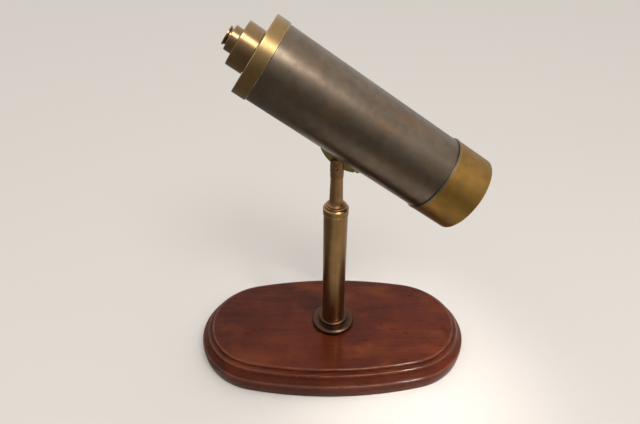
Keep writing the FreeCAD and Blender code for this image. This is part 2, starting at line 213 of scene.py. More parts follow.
class Graph:
    """The node tree of a material or a world, filled in by short calls."""

    def __init__(self, owner):
        owner.use_nodes = True
        self.owner = owner
        self.tree = owner.node_tree
        self.tree.nodes.clear()

    def add(self, kind, settings=None, sockets=None, output=0):
        """Adds a node: its settings first, then its sockets' values or links. Returns one output."""
        node = self.tree.nodes.new(kind)
        for key, setting in (settings or {}).items():
            if key == "stops":
                self.set_stops(node.color_ramp, setting)
            else:
                setattr(node, key, setting)
        for key, given in (sockets or {}).items():
            if isinstance(given, Value):
                self.tree.links.new(given.socket, node.inputs[key])
            else:
                node.inputs[key].default_value = given
        return Value(self, node.outputs[output]) if len(node.outputs) else None

    def set_stops(self, ramp, stops):
        """Gives a colour ramp its (place, grey) stops."""
        while len(ramp.elements) < len(stops):
            ramp.elements.new(0.5)
        for element, (place, grey) in zip(ramp.elements, stops):
            element.position = place
            element.color = (grey, grey, grey, 1)

    def place(self):
        """The piece's own coordinates."""
        return self.add("ShaderNodeTexCoord", output="Object")

    def scaled(self, vector, x, y, z):
        """The coordinates stretched along each axis."""
        return self.add("ShaderNodeVectorMath", {"operation": "MULTIPLY"}, {0: vector, 1: (x, y, z)})

    def shifted(self, vector, offset):
        """The coordinates moved by another vector."""
        return self.add("ShaderNodeVectorMath", {"operation": "ADD"}, {0: vector, 1: offset})

    def noise(self, vector, size, detail=4.0, roughness=0.55, output="Fac"):
        """Soft noise whose blotches are about size metres across."""
        return self.add("ShaderNodeTexNoise", {"noise_dimensions": "3D"}, {
            "Vector": vector, "Scale": 1 / size, "Detail": detail, "Roughness": roughness}, output)

    def between(self, value, low, high):
        """A soft step from nought at low to one at high."""
        return self.add("ShaderNodeMapRange", {"interpolation_type": "SMOOTHSTEP"}, {
            "Value": value, "From Min": low, "From Max": high})

    def clamped(self, value):
        """The value held between nought and one."""
        return self.add("ShaderNodeClamp", {}, {"Value": value})

    def mixed(self, factor, first, second):
        """Two colours mixed: the first where the factor is nought, the second where it is one."""
        sockets = {0: factor, 6: first, 7: second}
        for key in (6, 7):
            if not isinstance(sockets[key], Value):
                sockets[key] = (*sockets[key], 1)
        return self.add("ShaderNodeMix", {"data_type": "RGBA"}, sockets, 2)

    def mark(self, name):
        """A mark left on the piece's corners when it was turned: wear, or grime and painted shade in inner
        corners.
        """
        return self.add("ShaderNodeAttribute", {"attribute_name": name}, output="Fac")

    def bump(self, height, distance, strength=1.0):
        """A surface normal raised by the height, which is nought to one over the distance."""
        return self.add(
            "ShaderNodeBump", {}, {"Height": height, "Distance": distance, "Strength": strength})

    def surface(self, fixed, **varied):
        """Ends the tree in a shader with fixed values and varied ones, and returns the material."""
        sockets = dict(fixed)
        for key, value in varied.items():
            sockets[key.replace("_", " ").title()] = value
        shader = self.add("ShaderNodeBsdfPrincipled", {}, sockets)
        self.add("ShaderNodeOutputMaterial", {}, {"Surface": shader})
        return self.owner


# ---------------------------------------------------------------- finishes


def shade(tint, kept):
    """A darker shade of a colour, which keeps that share of its light."""
    return tuple(channel * kept for channel in tint)


def patinated(name, bright, patina, cover, roughness, marks, mottle):
    """Turned brass or bronze under an uneven skin of patina, rubbed bright on its edges.

    Cover is how much of the metal the patina hides, marks how strongly the lathe's lines show, and
    mottle how much the patina varies from place to place.
    """
    graph = Graph(bpy.data.materials.new(name))
    place = graph.place()
    cloud = graph.noise(place, 0.034, 3.0)
    blotch = graph.noise(place, 0.0085, 5.0, 0.62)
    speck = graph.noise(place, 0.0011, 3.0, 0.6)
    lathe_lines = graph.noise(graph.scaled(place, 24.0, 24.0, 2600.0), 1.0, 2.0)
    handling = graph.noise(graph.scaled(place, 1.0, 1.0, 0.25), 0.012, 4.0, 0.6)
    worn = graph.mark("wear") * graph.between(blotch, 0.36, 0.60)
    # Inner corners gather extra patina and a darker tone: patina in the hollows, and partly painted shade.
    dirt_and_shade = graph.mark("grime") * graph.between(speck + cloud, 0.70, 1.15)
    skin = cover + (cloud - 0.5) * (1.1 * mottle) + (blotch - 0.5) * (1.2 * mottle)
    skin = graph.clamped(skin + (speck - 0.5) * 0.25 - worn * 0.55 + dirt_and_shade * 0.6)
    metal = graph.mixed(skin, bright, patina)
    warm = tuple(channel * tint for channel, tint in zip(bright, (1.05, 0.72, 0.42)))
    metal = graph.mixed(graph.between(handling, 0.50, 0.72) * (0.5 * mottle), metal, warm)
    pits = graph.between(speck, 0.66, 0.76) * graph.between(blotch, 0.45, 0.65)
    metal = graph.mixed(graph.clamped(pits * 0.5 + dirt_and_shade * 0.5), metal, shade(patina, 0.35))
    sheen = roughness - 0.05 + skin * 0.12 + (handling - 0.5) * 0.16
    sheen = graph.clamped(sheen + (lathe_lines - 0.5) * (0.10 * marks))
    relief = lathe_lines * marks * 0.6 + speck * 0.5 - pits * 0.8
    return graph.surface(
        {"Metallic": 1.0},
        base_color=metal, roughness=sheen, normal=graph.bump(relief, 0.00002, 0.55))


def bright_turned(name):
    """Plain turned brass that is out of sight, hardly tarnished."""
    brass = (0.60, 0.43, 0.19)
    return patinated(name, brass, shade(brass, 0.5), cover=0.35, roughness=0.28, marks=1.0, mottle=0.3)


def plated_steel():
    """Zinc plated steel of the hidden bolt, nut and washers."""
    graph = Graph(bpy.data.materials.new("plated_steel"))
    place = graph.place()
    spangle = graph.noise(place, 0.0016, 3.0)
    haze = graph.noise(place, 0.007, 3.0)
    metal = graph.mixed(haze, (0.50, 0.50, 0.49), (0.36, 0.37, 0.39))
    return graph.surface(
        {"Metallic": 1.0},
        base_color=metal, roughness=spangle * 0.2 + 0.28, normal=graph.bump(spangle, 0.00002))


def blackened():
    """Blackened brass inside the objective, dull against stray light."""
    graph = Graph(bpy.data.materials.new("blackened_brass"))
    place = graph.place()
    soot = graph.noise(place, 0.004, 5.0)
    threads = graph.noise(graph.scaled(place, 10.0, 10.0, 1800.0), 1.0, 1.0)
    rubbed = graph.mark("wear") * graph.between(soot, 0.45, 0.62)
    black = graph.mixed(soot, (0.012, 0.011, 0.010), (0.032, 0.029, 0.025))
    black = graph.mixed(rubbed * 0.6, black, (0.24, 0.16, 0.07))
    return graph.surface(
        {"Metallic": 0.35},
        base_color=black, roughness=0.62 - rubbed * 0.2, normal=graph.bump(threads + soot, 0.00004))


def mahogany(wood):
    """Polished mahogany, its grain running the long way of the base and its colour uneven; painted light
    makes its right end lighter, and grime with painted shade darkens its grooves.
    """
    graph = Graph(bpy.data.materials.new("mahogany"))
    place = graph.place()
    wander = graph.noise(graph.scaled(place, 0.30, 1.0, 1.0), 0.060, 3.0, output="Color")
    wander = graph.scaled(graph.shifted(wander, (-0.5, -0.5, -0.5)), 0.0, 0.022, 0.022)
    bent = graph.shifted(place, wander)
    stretch = wood.grain_width / wood.grain_length
    bands = graph.noise(graph.scaled(bent, stretch, 1.0, 1.0), wood.grain_width, 4.0, 0.6)
    streaks = graph.noise(graph.scaled(bent, 0.045, 1.0, 1.0), 0.0030, 3.0, 0.6)
    fine = graph.noise(graph.scaled(bent, 0.04, 1.0, 1.0), 0.0011, 3.0, 0.6)
    ripple = graph.noise(graph.scaled(place, 1.0, 0.40, 0.40), 0.013, 3.0)
    cloud = graph.noise(graph.shifted(place, (0.31, 0.12, 0.0)), 0.055, 3.0, 0.55)
    pores = graph.noise(graph.scaled(bent, 0.06, 1.0, 1.0), 0.00070, 2.0, 0.5)
    pores = graph.between(pores, 0.58, 0.68) * graph.between(bands, 0.32, 0.58)
    # Painted light: the wood is made lighter towards the base's right end, from 20 mm to 130 mm along X, as
    # if lit from that side.
    along = graph.add("ShaderNodeSeparateXYZ", {}, {0: place}, "X")
    tone = graph.between(bands, 0.30, 0.70) * 0.30 + (streaks - 0.5) * 0.60 + (fine - 0.5) * 0.50
    tone = tone + (cloud - 0.5) * 1.5 + (ripple - 0.5) * 0.55 - graph.between(along, 0.02, 0.13) * 0.22
    tone = graph.clamped(tone + 0.38)
    timber = graph.mixed(tone, wood.light, wood.dark)
    amber = graph.between(graph.noise(graph.scaled(place, 0.5, 1.0, 1.0), 0.032, 3.0), 0.50, 0.72)
    timber = graph.mixed(amber * 0.60, timber, wood.amber)
    timber = graph.mixed(pores * 0.65, timber, shade(wood.dark, 0.35))
    # The moulding's inner corners are darkened: grime, and partly painted shade in the grooves.
    dirt_and_shade = graph.mark("grime") * graph.between(graph.noise(place, 0.006), 0.25, 0.65)
    rubbed = graph.mark("wear") * graph.between(graph.noise(place, 0.010), 0.36, 0.60)
    timber = graph.mixed(dirt_and_shade * 0.60, timber, shade(wood.dark, 0.25))
    timber = graph.mixed(rubbed * 0.55, timber, wood.amber)
    haze = graph.noise(place, 0.022, 4.0, 0.6)
    sheen = wood.roughness + (haze - 0.5) * 0.16 + pores * 0.22 + dirt_and_shade * 0.2
    polish = 0.15 + graph.mark("wear") * 0.5 - dirt_and_shade * 0.1 - pores * 0.1
    polish = graph.clamped(polish + (haze - 0.5) * 0.12)
    relief = graph.noise(place, 0.018, 2.0) + fine * 0.10 - pores * 0.16 + bands * 0.10
    return graph.surface(
        {"Coat Roughness": 0.09, "Coat IOR": 1.45, "Specular IOR Level": 0.06},
        base_color=timber, roughness=sheen, coat_weight=polish, normal=graph.bump(relief, 0.00016, 0.6))


def baize():
    """Green cloth glued under the base."""
    graph = Graph(bpy.data.materials.new("green_felt"))
    place = graph.place()
    fuzz = graph.noise(place, 0.0007, 4.0, 0.7)
    nap = graph.noise(place, 0.009, 3.0)
    cloth = graph.mixed(fuzz * 0.7 + nap * 0.3, (0.012, 0.060, 0.030), (0.035, 0.130, 0.070))
    return graph.surface(
        {"Sheen Weight": 0.4, "Sheen Roughness": 0.5},
        base_color=cloth, roughness=0.95 - fuzz * 0.1, normal=graph.bump(fuzz, 0.0003))


def washer_leather():
    """Oiled leather of the friction washers."""
    graph = Graph(bpy.data.materials.new("washer_leather"))
    place = graph.place()
    pores = graph.noise(place, 0.0006, 4.0, 0.65)
    stain = graph.noise(place, 0.003, 3.0)
    hide = graph.mixed(stain, (0.17, 0.085, 0.04), (0.07, 0.035, 0.018))
    return graph.surface(
        {}, base_color=hide, roughness=0.55 + pores * 0.25, normal=graph.bump(pores, 0.0001))


def lens_glass():
    """Clear polished glass with a trace of dust."""
    graph = Graph(bpy.data.materials.new("lens_glass"))
    place = graph.place()
    dust = graph.between(graph.noise(place, 0.0013, 4.0, 0.7), 0.58, 0.80)
    smear = graph.noise(place, 0.012, 3.0)
    glass = graph.mixed(dust * 0.25, (0.90, 0.95, 0.93), (0.60, 0.58, 0.54))
    return graph.surface(
        {"Transmission Weight": 1.0, "IOR": 1.52},
        base_color=glass, roughness=0.015 + dust * 0.12 + smear * 0.02,
        normal=graph.bump(smear, 0.00001, 0.2))


FINISHES = {}


def finish(slot):
    """The material of one of the record's slots, made once."""
    if slot not in FINISHES:
        FINISHES[slot] = make_finish(slot)
    return FINISHES[slot]


def make_finish(slot):
    """Makes the material of one of the record's slots."""
    metal = bpy.context.scene.telescope_metal
    makers = {
        "mahogany": lambda: mahogany(bpy.context.scene.telescope_wood),
        "green_felt": baize,
        "plated_steel": plated_steel,
        "washer_leather": washer_leather,
        "blackened_brass": blackened,
        "lens_glass": lens_glass,
        "turned_brass": lambda: bright_turned(slot),
        "barrel_bronze": lambda: patinated(
            slot, metal.tube_bright, metal.tube_patina,
            cover=0.50, roughness=metal.tube_roughness, marks=0.5, mottle=0.75),
        "end_brass": lambda: patinated(
            slot, metal.ends_bright, metal.ends_patina,
            cover=0.45, roughness=metal.ends_roughness, marks=0.5, mottle=0.55),
        "hood_brass": lambda: patinated(
            slot, metal.hood_bright, metal.ends_patina,
            cover=0.42, roughness=metal.hood_roughness, marks=0.4, mottle=0.8),
        "draw_brass": lambda: patinated(
            slot, metal.draws_bright, metal.draws_patina,
            cover=0.42, roughness=metal.draws_roughness, marks=0.5, mottle=0.5),
        "column_brass": lambda: patinated(
            slot, metal.column_bright, metal.column_patina,
            cover=0.45, roughness=0.30, marks=0.6, mottle=0.45),
        "post_bronze": lambda: patinated(
            slot, metal.post_bright, metal.post_patina,
            cover=0.45, roughness=0.34, marks=0.6, mottle=0.6),
        "fork_bronze": lambda: patinated(
            slot, metal.post_bright, metal.post_patina,
            cover=0.68, roughness=0.38, marks=0.5, mottle=0.6),
        "foot_bronze": lambda: patinated(
            slot, metal.foot_bright, metal.foot_patina,
            cover=0.55, roughness=0.34, marks=0.5, mottle=0.5),
        "saddle_brass": lambda: patinated(
            slot, metal.saddle_bright, metal.saddle_patina,
            cover=0.48, roughness=0.36, marks=0.3, mottle=0.5),
    }
    return makers[slot]()


# ---------------------------------------------------------------- spindles and measured nodes


class Spindle:
    """A line that pieces are turned about, with a frame of its own: Z along the line."""

    def __init__(self, origin, along, across):
        z = Vector(along).normalized()
        x = Vector(across)
        x = (x - z * x.dot(z)).normalized()
        self.matrix = Matrix((x, z.cross(x), z)).transposed().to_4x4()
        self.matrix.translation = origin

    def points(self, node):
        """The node's points in this frame."""
        mesh = frame["nodes"][node].data
        points = np.empty(len(mesh.vertices) * 3)
        mesh.vertices.foreach_get("co", points)
        inverse = np.array(self.matrix.inverted())
        return points.reshape(-1, 3) @ inverse[:3, :3].T + inverse[:3, 3]

    def span(self, node):
        """How far the node reaches along and out from the line."""
        points = self.points(node)
        reach = np.hypot(points[:, 0], points[:, 1])
        return Span(points[:, 2].min(), points[:, 2].max(), reach.min(), reach.max())


class Span:
    """The start and end of a turned node along its line, and its inner and outer radius."""

    def __init__(self, start, end, inner, outer):
        self.start = float(start)
        self.end = float(end)
        self.inner = float(inner)
        self.outer = float(outer)


def joint(name):
    """One of the model's joints."""
    return next(j for j in frame["joints"] if j["name"] == name)


PIVOT = Vector(joint("tube_tilt")["pos_m"])
ACROSS = Vector(joint("tube_tilt")["axis"])
SIGHT = -Vector(joint("draw_1_slide")["axis"])


def tube_spindle():
    """The telescope's own axis: Z towards the objective, X across, Y up; nought beside the pivot."""
    rough = Spindle(PIVOT, SIGHT, ACROSS)
    points = rough.points("barrel_tube")
    middle = (points.min(axis=0) + points.max(axis=0)) / 2
    origin = rough.matrix @ Vector((middle[0], middle[1], 0))
    return Spindle(origin, SIGHT, ACROSS)


COLUMN = Spindle((0, 0, 0), (0, 0, 1), (1, 0, 0))
POST = Spindle((0, 0, 0), (0, 0, 1), ACROSS)
TUBE = tube_spindle()


# ---------------------------------------------------------------- outlines and meshes


def rounded_outline(corners, closed=True):
    """Points, normals, wear and grime along an outline of (u, v) or (u, v, radius) corners.

    The outline runs anticlockwise. Every corner without a radius of its own is broken a little. A keen
    outer corner wears, and a keen inner one holds grime and painted shade; both fade away on the flats
    beside it.
    """
    edge_break = bpy.context.scene.telescope_build.edge_break
    fade = 0.9 * MM
    arc_step = math.radians(11)
    keen_bend = math.radians(60)
    keen_radius = 1.8 * MM
    spots = [np.array(corner[:2], float) for corner in corners]
    count = len(spots)
    rows = []
    for i, spot in enumerate(spots):
        if not closed and i in (0, count - 1):
            other = spots[1] if i == 0 else spots[-2]
            along = (other - spot) if i == 0 else (spot - other)
            along /= np.linalg.norm(along)
            rows.append((spot, (along[1], -along[0]), 0.0, 0.0))
            continue
        before, after = spot - spots[i - 1], spots[(i + 1) % count] - spot
        before_length, after_length = np.linalg.norm(before), np.linalg.norm(after)
        room = 0.48 * min(before_length, after_length)
        before, after = before / before_length, after / after_length
        bend = math.atan2(before[0] * after[1] - before[1] * after[0], before @ after)
        if abs(bend) < 1e-4:
            rows.append((spot, (before[1], -before[0]), 0.0, 0.0))
            continue
        radius = corners[i][2] if len(corners[i]) == 3 else edge_break
        reach = min(radius * math.tan(abs(bend) / 2), room)
        radius = reach / math.tan(abs(bend) / 2)
        first = np.array((before[1], -before[0]))
        steps = max(3, math.ceil(abs(bend) / arc_step))
        sign = math.copysign(1, bend)
        centre = spot - before * reach - first * radius * sign
        sharp = min(1.0, abs(bend) / keen_bend) * min(1.0, keen_radius / radius)
        wear, grime = (sharp, 0.0) if bend > 0 else (0.0, sharp)
        if before_length - reach > 2.2 * fade:
            rows.append((spot - before * (reach + fade), tuple(first), 0.0, 0.0))
        for k in range(steps + 1):
            angle = bend * k / steps
            c, s = math.cos(angle), math.sin(angle)
            normal = np.array((first[0] * c - first[1] * s, first[0] * s + first[1] * c))
            rows.append((centre + normal * radius * sign, tuple(normal), wear, grime))
        if after_length - reach > 2.2 * fade:
            last = np.array((after[1], -after[0]))
            rows.append((spot + after * (reach + fade), tuple(last), 0.0, 0.0))
    return rows


def grid_mesh(name, rings, normals, closed, capped, wear=None, grime=None):
    """A mesh from rings of points, joined ring to ring, with its own normals and marks.

    A closed one joins its last ring to its first; a capped one has a face over each end.
    """
    rings = np.asarray(rings, float)
    count, around = rings.shape[:2]
    index = np.arange(count * around).reshape(count, around)
    following = np.roll(index, -1, axis=0) if closed else index[1:]
    first = index if closed else index[:-1]
    quads = np.stack([first, np.roll(first, -1, axis=1), np.roll(following, -1, axis=1), following], axis=2)
    faces = [list(map(int, quad)) for quad in quads.reshape(-1, 4)]
    if capped:
        faces.append([int(k) for k in index[0][::-1]])
        faces.append([int(k) for k in index[-1]])
    mesh = bpy.data.meshes.new(name)
    mesh.from_pydata(rings.reshape(-1, 3).tolist(), [], faces)
    mesh.polygons.foreach_set("use_smooth", [True] * len(faces))
    for key, values in (("wear", wear), ("grime", grime)):
        if values is not None:
            attribute = mesh.attributes.new(key, "FLOAT", "POINT")
            attribute.data.foreach_set("value", np.repeat(np.asarray(values, np.float32), around))
    if normals is not None:
        mesh.normals_split_custom_set_from_vertices(np.asarray(normals, float).reshape(-1, 3).tolist())
    mesh.update()
    return mesh


def place_piece(name, mesh, spindle, body, slot, nodes, look=None):
    """Puts a made mesh on its spindle, gives it its finish and lets it stand for its nodes."""
    piece = bpy.data.objects.new(name, mesh)
    bpy.context.scene.collection.objects.link(piece)
    piece.matrix_world = spindle.matrix
    mesh.materials.clear()
    mesh.materials.append(finish(look or slot))
    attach(piece, body)
    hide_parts(*nodes)


def angles_round(count):
    """Evenly spaced angles round a full turn."""
    return np.arange(count) * TURN / count


def circle_of(angles):
    """Points on a circle of radius one at the angles given."""
    return np.stack([np.cos(angles), np.sin(angles)], axis=1)


def spun(circle, pairs):
    """Each (out, along) pair spread round the circle, as rings of points or of normals."""
    return [np.column_stack([circle * out, np.full(len(circle), along)]) for out, along in pairs]


def turned_mesh(name, corners, solid=False, segments=None):
    """Spins an outline of (radius, place) corners. A solid one starts and ends on the line."""
    rows = rounded_outline(corners, closed=not solid)
    circle = circle_of(angles_round(segments or bpy.context.scene.telescope_build.segments))
    rings = spun(circle, [row[0] for row in rows])
    normals = spun(circle, [row[1] for row in rows])
    wear = [row[2] for row in rows]
    grime = [row[3] for row in rows]
    return grid_mesh(name, rings, normals, closed=not solid, capped=solid, wear=wear, grime=grime)


def turn(name, nodes, spindle, corners, body, slot, solid=False, segments=None, look=None):
    """Turns a piece that stands for the nodes given."""
    mesh = turned_mesh(name, corners, solid, segments)
    place_piece(name, mesh, spindle, body, slot, nodes, look)


def settle(piece):
    """Applies the piece's modifiers to its mesh."""
    bpy.context.view_layer.update()
    made = bpy.data.meshes.new_from_object(piece.evaluated_get(bpy.context.evaluated_depsgraph_get()))
    piece.modifiers.clear()
    piece.data = made


def carved_mesh(name, stock, cutters, bevel):
    """Cuts or trims a mesh with others, (operation, mesh) each, then breaks its edges."""
    scene = bpy.context.scene.collection.objects
    piece = bpy.data.objects.new(name + ".stock", stock)
    scene.link(piece)
    helpers = []
    for operation, mesh in cutters:
        helper = bpy.data.objects.new(name + ".cutter", mesh)
        scene.link(helper)
        helpers.append(helper)
        cut = piece.modifiers.new("cut", "BOOLEAN")
        cut.operation = operation
        cut.solver = "EXACT"
        cut.object = helper
    settle(piece)
    edges = piece.modifiers.new("edges", "BEVEL")
    edges.width = bevel
    edges.segments = 3
    edges.limit_method = "ANGLE"
    edges.angle_limit = math.radians(38)
    edges.use_clamp_overlap = True
    settle(piece)
    piece.data.shade_smooth()
    piece.modifiers.new("flats", "WEIGHTED_NORMAL").keep_sharp = False
    settle(piece)
    mesh = piece.data
    bpy.data.objects.remove(piece)
    for helper in helpers:
        bpy.data.objects.remove(helper)
    return mesh


def box_mesh(name, low, high):
    """A plain box, used to cut with."""
    made = bmesh.new()
    bmesh.ops.create_cube(made, size=1.0)
    for vertex in made.verts:
        vertex.co = Vector(low[i] if vertex.co[i] < 0 else high[i] for i in range(3))
    mesh = bpy.data.meshes.new(name)
    made.to_mesh(mesh)
    made.free()
    return mesh


def plain_turned_mesh(name, corners, segments=96):
    """A turned solid with sharp corners, used to cut with or to be carved."""
    rings = spun(circle_of(angles_round(segments)), corners)
    return grid_mesh(name, rings, None, closed=False, capped=True)


def keep_nodes(*nodes):
    """Keeps CAD nodes as they are and gives each its slot's finish."""
    slots = {row["node"]: row["material_slot"] for row in frame["record"]["subparts"]}
    for node in nodes:
        target = frame["nodes"][node]
        target.data.materials.clear()
        target.data.materials.append(finish(slots[node]))


# ---------------------------------------------------------------- base


def oval_ring(inset, height, around):
    """The base's outline drawn in by the inset: four tangent arcs, as points and outward normals."""
    low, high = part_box("base_plinth")
    half_length = (high.x - low.x) / 2
    half_width = (high.y - low.y) / 2
    end_radius = 70 * MM
    end_place = half_length - end_radius
    side_radius = (end_place**2 + half_width**2 - end_radius**2) / (2 * (half_width - end_radius))
    side_place = side_radius - half_width
    reach = math.atan2(side_place, end_place)
    arcs = [
        ((end_place, 0), end_radius, -reach, reach),
        ((0, -side_place), side_radius, reach, math.pi - reach),
        ((-end_place, 0), end_radius, math.pi - reach, math.pi + reach),
        ((0, side_place), side_radius, math.pi + reach, TURN - reach),
    ]
    run = sum(radius * (last - first) for _, radius, first, last in arcs)
    points, normals = [], []
    for centre, radius, first, last in arcs:
        steps = round(around * radius * (last - first) / run)
        for angle in np.linspace(first, last, steps, endpoint=False):
            out = np.array((math.cos(angle), math.sin(angle)))
            spot = np.array(centre) + out * (radius - inset)
            points.append((*spot, height))
            normals.append(out)
    return np.array(points), np.array(normals)


def make_plinth():
    """The moulded mahogany base, bored for the column's bolt."""
    low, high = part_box("base_plinth")
    washer = COLUMN.span("bolt_washer")
    bolt_hole = COLUMN.span("foot_flange").inner
    bore = washer.outer + 1.5 * MM
    around = 420
    width = 11.6 * MM
    flat = width + 6 * MM
    bottom, top = low.z, high.z
    # From the underside up: a bellied edge, a lower nose, a sloping band, an upper nose, a ledge and a
    # step to the flat top.
    moulding = [
        (-flat, bottom),
        (-1.2 * MM, bottom, 1.0 * MM),
        (0, bottom + 8 * MM, 30 * MM),
        (-0.3 * MM, top - 12.9 * MM, 1.8 * MM),
        (-2.4 * MM, top - 12.3 * MM, 0.8 * MM),
        (-6.0 * MM, top - 8.2 * MM, 12.0 * MM),
        (-7.2 * MM, top - 4.2 * MM, 1.4 * MM),
        (-width, top - 3.2 * MM, 0.5 * MM),
        (-width, top, 1.5 * MM),
        (-flat, top),
    ]
    rings, normals, wear, grime = [], [], [], []
    for spot, normal, worn, dirt_and_shade in rounded_outline(moulding, closed=False):
        points, out = oval_ring(-spot[0], spot[1], around)
        rings.append(points)
        normals.append(np.column_stack([out * normal[0], np.full(len(points), normal[1])]))
        wear.append(worn)
        grime.append(dirt_and_shade)
    polar = np.arctan2(rings[0][:, 1], rings[0][:, 0])
    circle = np.column_stack([np.cos(polar), np.sin(polar)])
    edge = 0.3 * MM
    inner = [
        (bolt_hole + edge, top, (0, 1)), (bolt_hole, top - edge, (-1, 0)),
        (bolt_hole, washer.end + edge, (-1, 0)), (bolt_hole + edge, washer.end, (0, -1)),
        (bore - edge, washer.end, (0, -1)), (bore, washer.end - edge, (-1, 0)),
        (bore, bottom + edge, (-1, 0)), (bore + edge, bottom, (0, -1)),
    ]
    for radius, height, normal in inner:
        rings.append(np.column_stack([circle * radius, np.full(len(circle), height)]))
        normals.append(np.column_stack([circle * normal[0], np.full(len(circle), normal[1])]))
        wear.append(0)
        grime.append(0)
    mesh = grid_mesh(
        "moulded_base", rings, normals, closed=True, capped=False, wear=wear, grime=grime)
    place_piece("moulded_base", mesh, COLUMN, "stand", "mahogany", ["base_plinth"])


# ---------------------------------------------------------------- column


def make_foot():
    """The stepped foot: a half-round ring, a groove and an upper bead."""
    foot = COLUMN.span("foot_flange")
    tube = COLUMN.span("column_tube")
    ring_top = foot.start + 6.0 * MM
    groove = foot.start + 6.6 * MM
    shoulder, waist, bead = 15.6 * MM, 14.2 * MM, 15.4 * MM
    turn("stepped_foot", ["foot_flange"], COLUMN, [
        (foot.inner, foot.start),
        (foot.outer, foot.start, 0.8 * MM),
        (foot.outer, ring_top, 3.0 * MM),
        (shoulder, ring_top, 0.3 * MM),
        (waist, groove),
        (bead, groove + 0.4 * MM, 0.8 * MM),
        (bead, foot.end, 2.6 * MM),
        (tube.outer, foot.end),
        (tube.outer, tube.start),
        (foot.inner, tube.start),
    ], "stand", "foot_bronze")


def make_column():
    """The column tube and the collar on its top."""
    tube = COLUMN.span("column_tube")
    turn("column_shell", ["column_tube"], COLUMN, [
        (tube.inner, tube.start),
        (tube.outer, tube.start),
        (tube.outer, tube.end),
        (tube.inner, tube.end),
    ], "stand", "column_brass")
    collar = COLUMN.span("column_collar")
    line = tube.end + 2.0 * MM
    line_half, line_depth = 0.3 * MM, 0.35 * MM
    mouth = 10.8 * MM
    turn("column_cap_ring", ["column_collar"], COLUMN, [
        (collar.inner, collar.start),
        (tube.inner, collar.start, 0.5 * MM),
        (tube.inner, tube.end),
        (collar.outer, tube.end, 0.3 * MM),
        (collar.outer, line - line_half),
        (collar.outer - line_depth, line),
        (collar.outer, line + line_half),
        (collar.outer, collar.end - 1.4 * MM, 0.6 * MM),
        (mouth, collar.end, 0.3 * MM),
        (collar.inner, collar.end),
    ], "stand", "column_brass")


# ---------------------------------------------------------------- post

SCREW_RADIUS = 2.0 * MM
SCREW_HEAD_RADIUS = 3.0 * MM
SCREW_SEAT = 5.2 * MM  # how far from the middle of the fork the screw's head sits
SCREW_REACH = 6.0 * MM  # how far the screw's tip and head reach from there


def make_post():
    """The turned post: journal, flared foot and tapering rod."""
    post = POST.span("post_rod")
    fork = POST.span("fork_head")
    washer = POST.span("post_washer")
    bush = POST.span("swivel_bush")
    collar = POST.span("column_collar")
    journal = bush.inner - RUNNING_GAP
    foot = collar.end + 0.3 * MM
    ledge = foot + 1.5 * MM
    rim, flare, neck, rod, spigot = 8.9 * MM, 7.4 * MM, 6.4 * MM, 5.68 * MM, 3.5 * MM
    turn("swivel_post", ["post_rod"], POST, [
        (AXLE, post.start),
        (washer.inner, post.start, 0.5 * MM),
        (washer.inner, washer.end),
        (journal, washer.end, 0.2 * MM),
        (journal, foot),
        (post.outer, foot, 0.4 * MM),
        (post.outer, ledge, 0.5 * MM),
        (rim, ledge, 0.2 * MM),
        (rim - 0.2 * MM, foot + 2.7 * MM, 0.4 * MM),
        (flare, foot + 3.7 * MM, 1.5 * MM),
        (neck, foot + 6.1 * MM, 4.0 * MM),
        (rod, fork.start - 0.4 * MM),
        (rod, fork.start),
        (spigot, fork.start),
        (spigot, post.end, 0.5 * MM),
        (AXLE, post.end),
    ], "post", "post_bronze", solid=True)


def across_the_fork():
    """Lays a piece turned about Z along the pivot's line."""
    return Matrix.Translation((0, 0, PIVOT.z)) @ Matrix.Rotation(-math.pi / 2, 4, "Y")


def make_fork():
    """The round-topped fork head, slotted for the tongue and bored for the pivot screw."""
    fork = POST.span("fork_head")
    pivot = PIVOT.z
    head = fork.outer
    dome = fork.end - pivot
    reach = 20 * MM
    neck_radius = 6.1 * MM
    neck_top = fork.start + 5.9 * MM
    head_start = fork.start + 6.5 * MM
    stock_end = fork.end + 1 * MM
    neck = plain_turned_mesh("neck", [
        (AXLE, fork.start), (neck_radius, fork.start), (neck_radius, neck_top),
        (head, head_start), (head, stock_end), (AXLE, stock_end)])
    floor = fork.start - reach
    arch = [(-reach, floor), (reach, floor), (reach, pivot)]
    for angle in np.linspace(0, math.pi, 49):
        arch.append((dome * math.cos(angle), pivot + dome * math.sin(angle)))
    arch.append((-reach, pivot))
    slab = [[(x, y, z) for y, z in arch] for x in (-reach, reach)]
    trimmer = grid_mesh("arch", slab, None, closed=False, capped=True)
    half_slot = 2.45 * MM
    slot_floor = pivot - 7.5 * MM
    slot = box_mesh("slot", (-half_slot, -reach, slot_floor), (half_slot, reach, fork.end + reach))
    sink_radius = SCREW_HEAD_RADIUS + 0.1 * MM
    sink = plain_turned_mesh("sink", [(sink_radius, SCREW_SEAT), (sink_radius, reach)])
    hole = plain_turned_mesh("hole", [(SCREW_RADIUS, -SCREW_REACH), (SCREW_RADIUS, reach)])
    for cutter in (sink, hole):
        cutter.transform(across_the_fork())
    cuts = [("INTERSECT", trimmer), ("DIFFERENCE", slot), ("DIFFERENCE", sink), ("DIFFERENCE", hole)]
    mesh = carved_mesh("fork_knuckle", neck, cuts, bevel=0.28 * MM)
    place_piece("fork_knuckle", mesh, POST, "post", "fork_bronze", ["fork_head"])


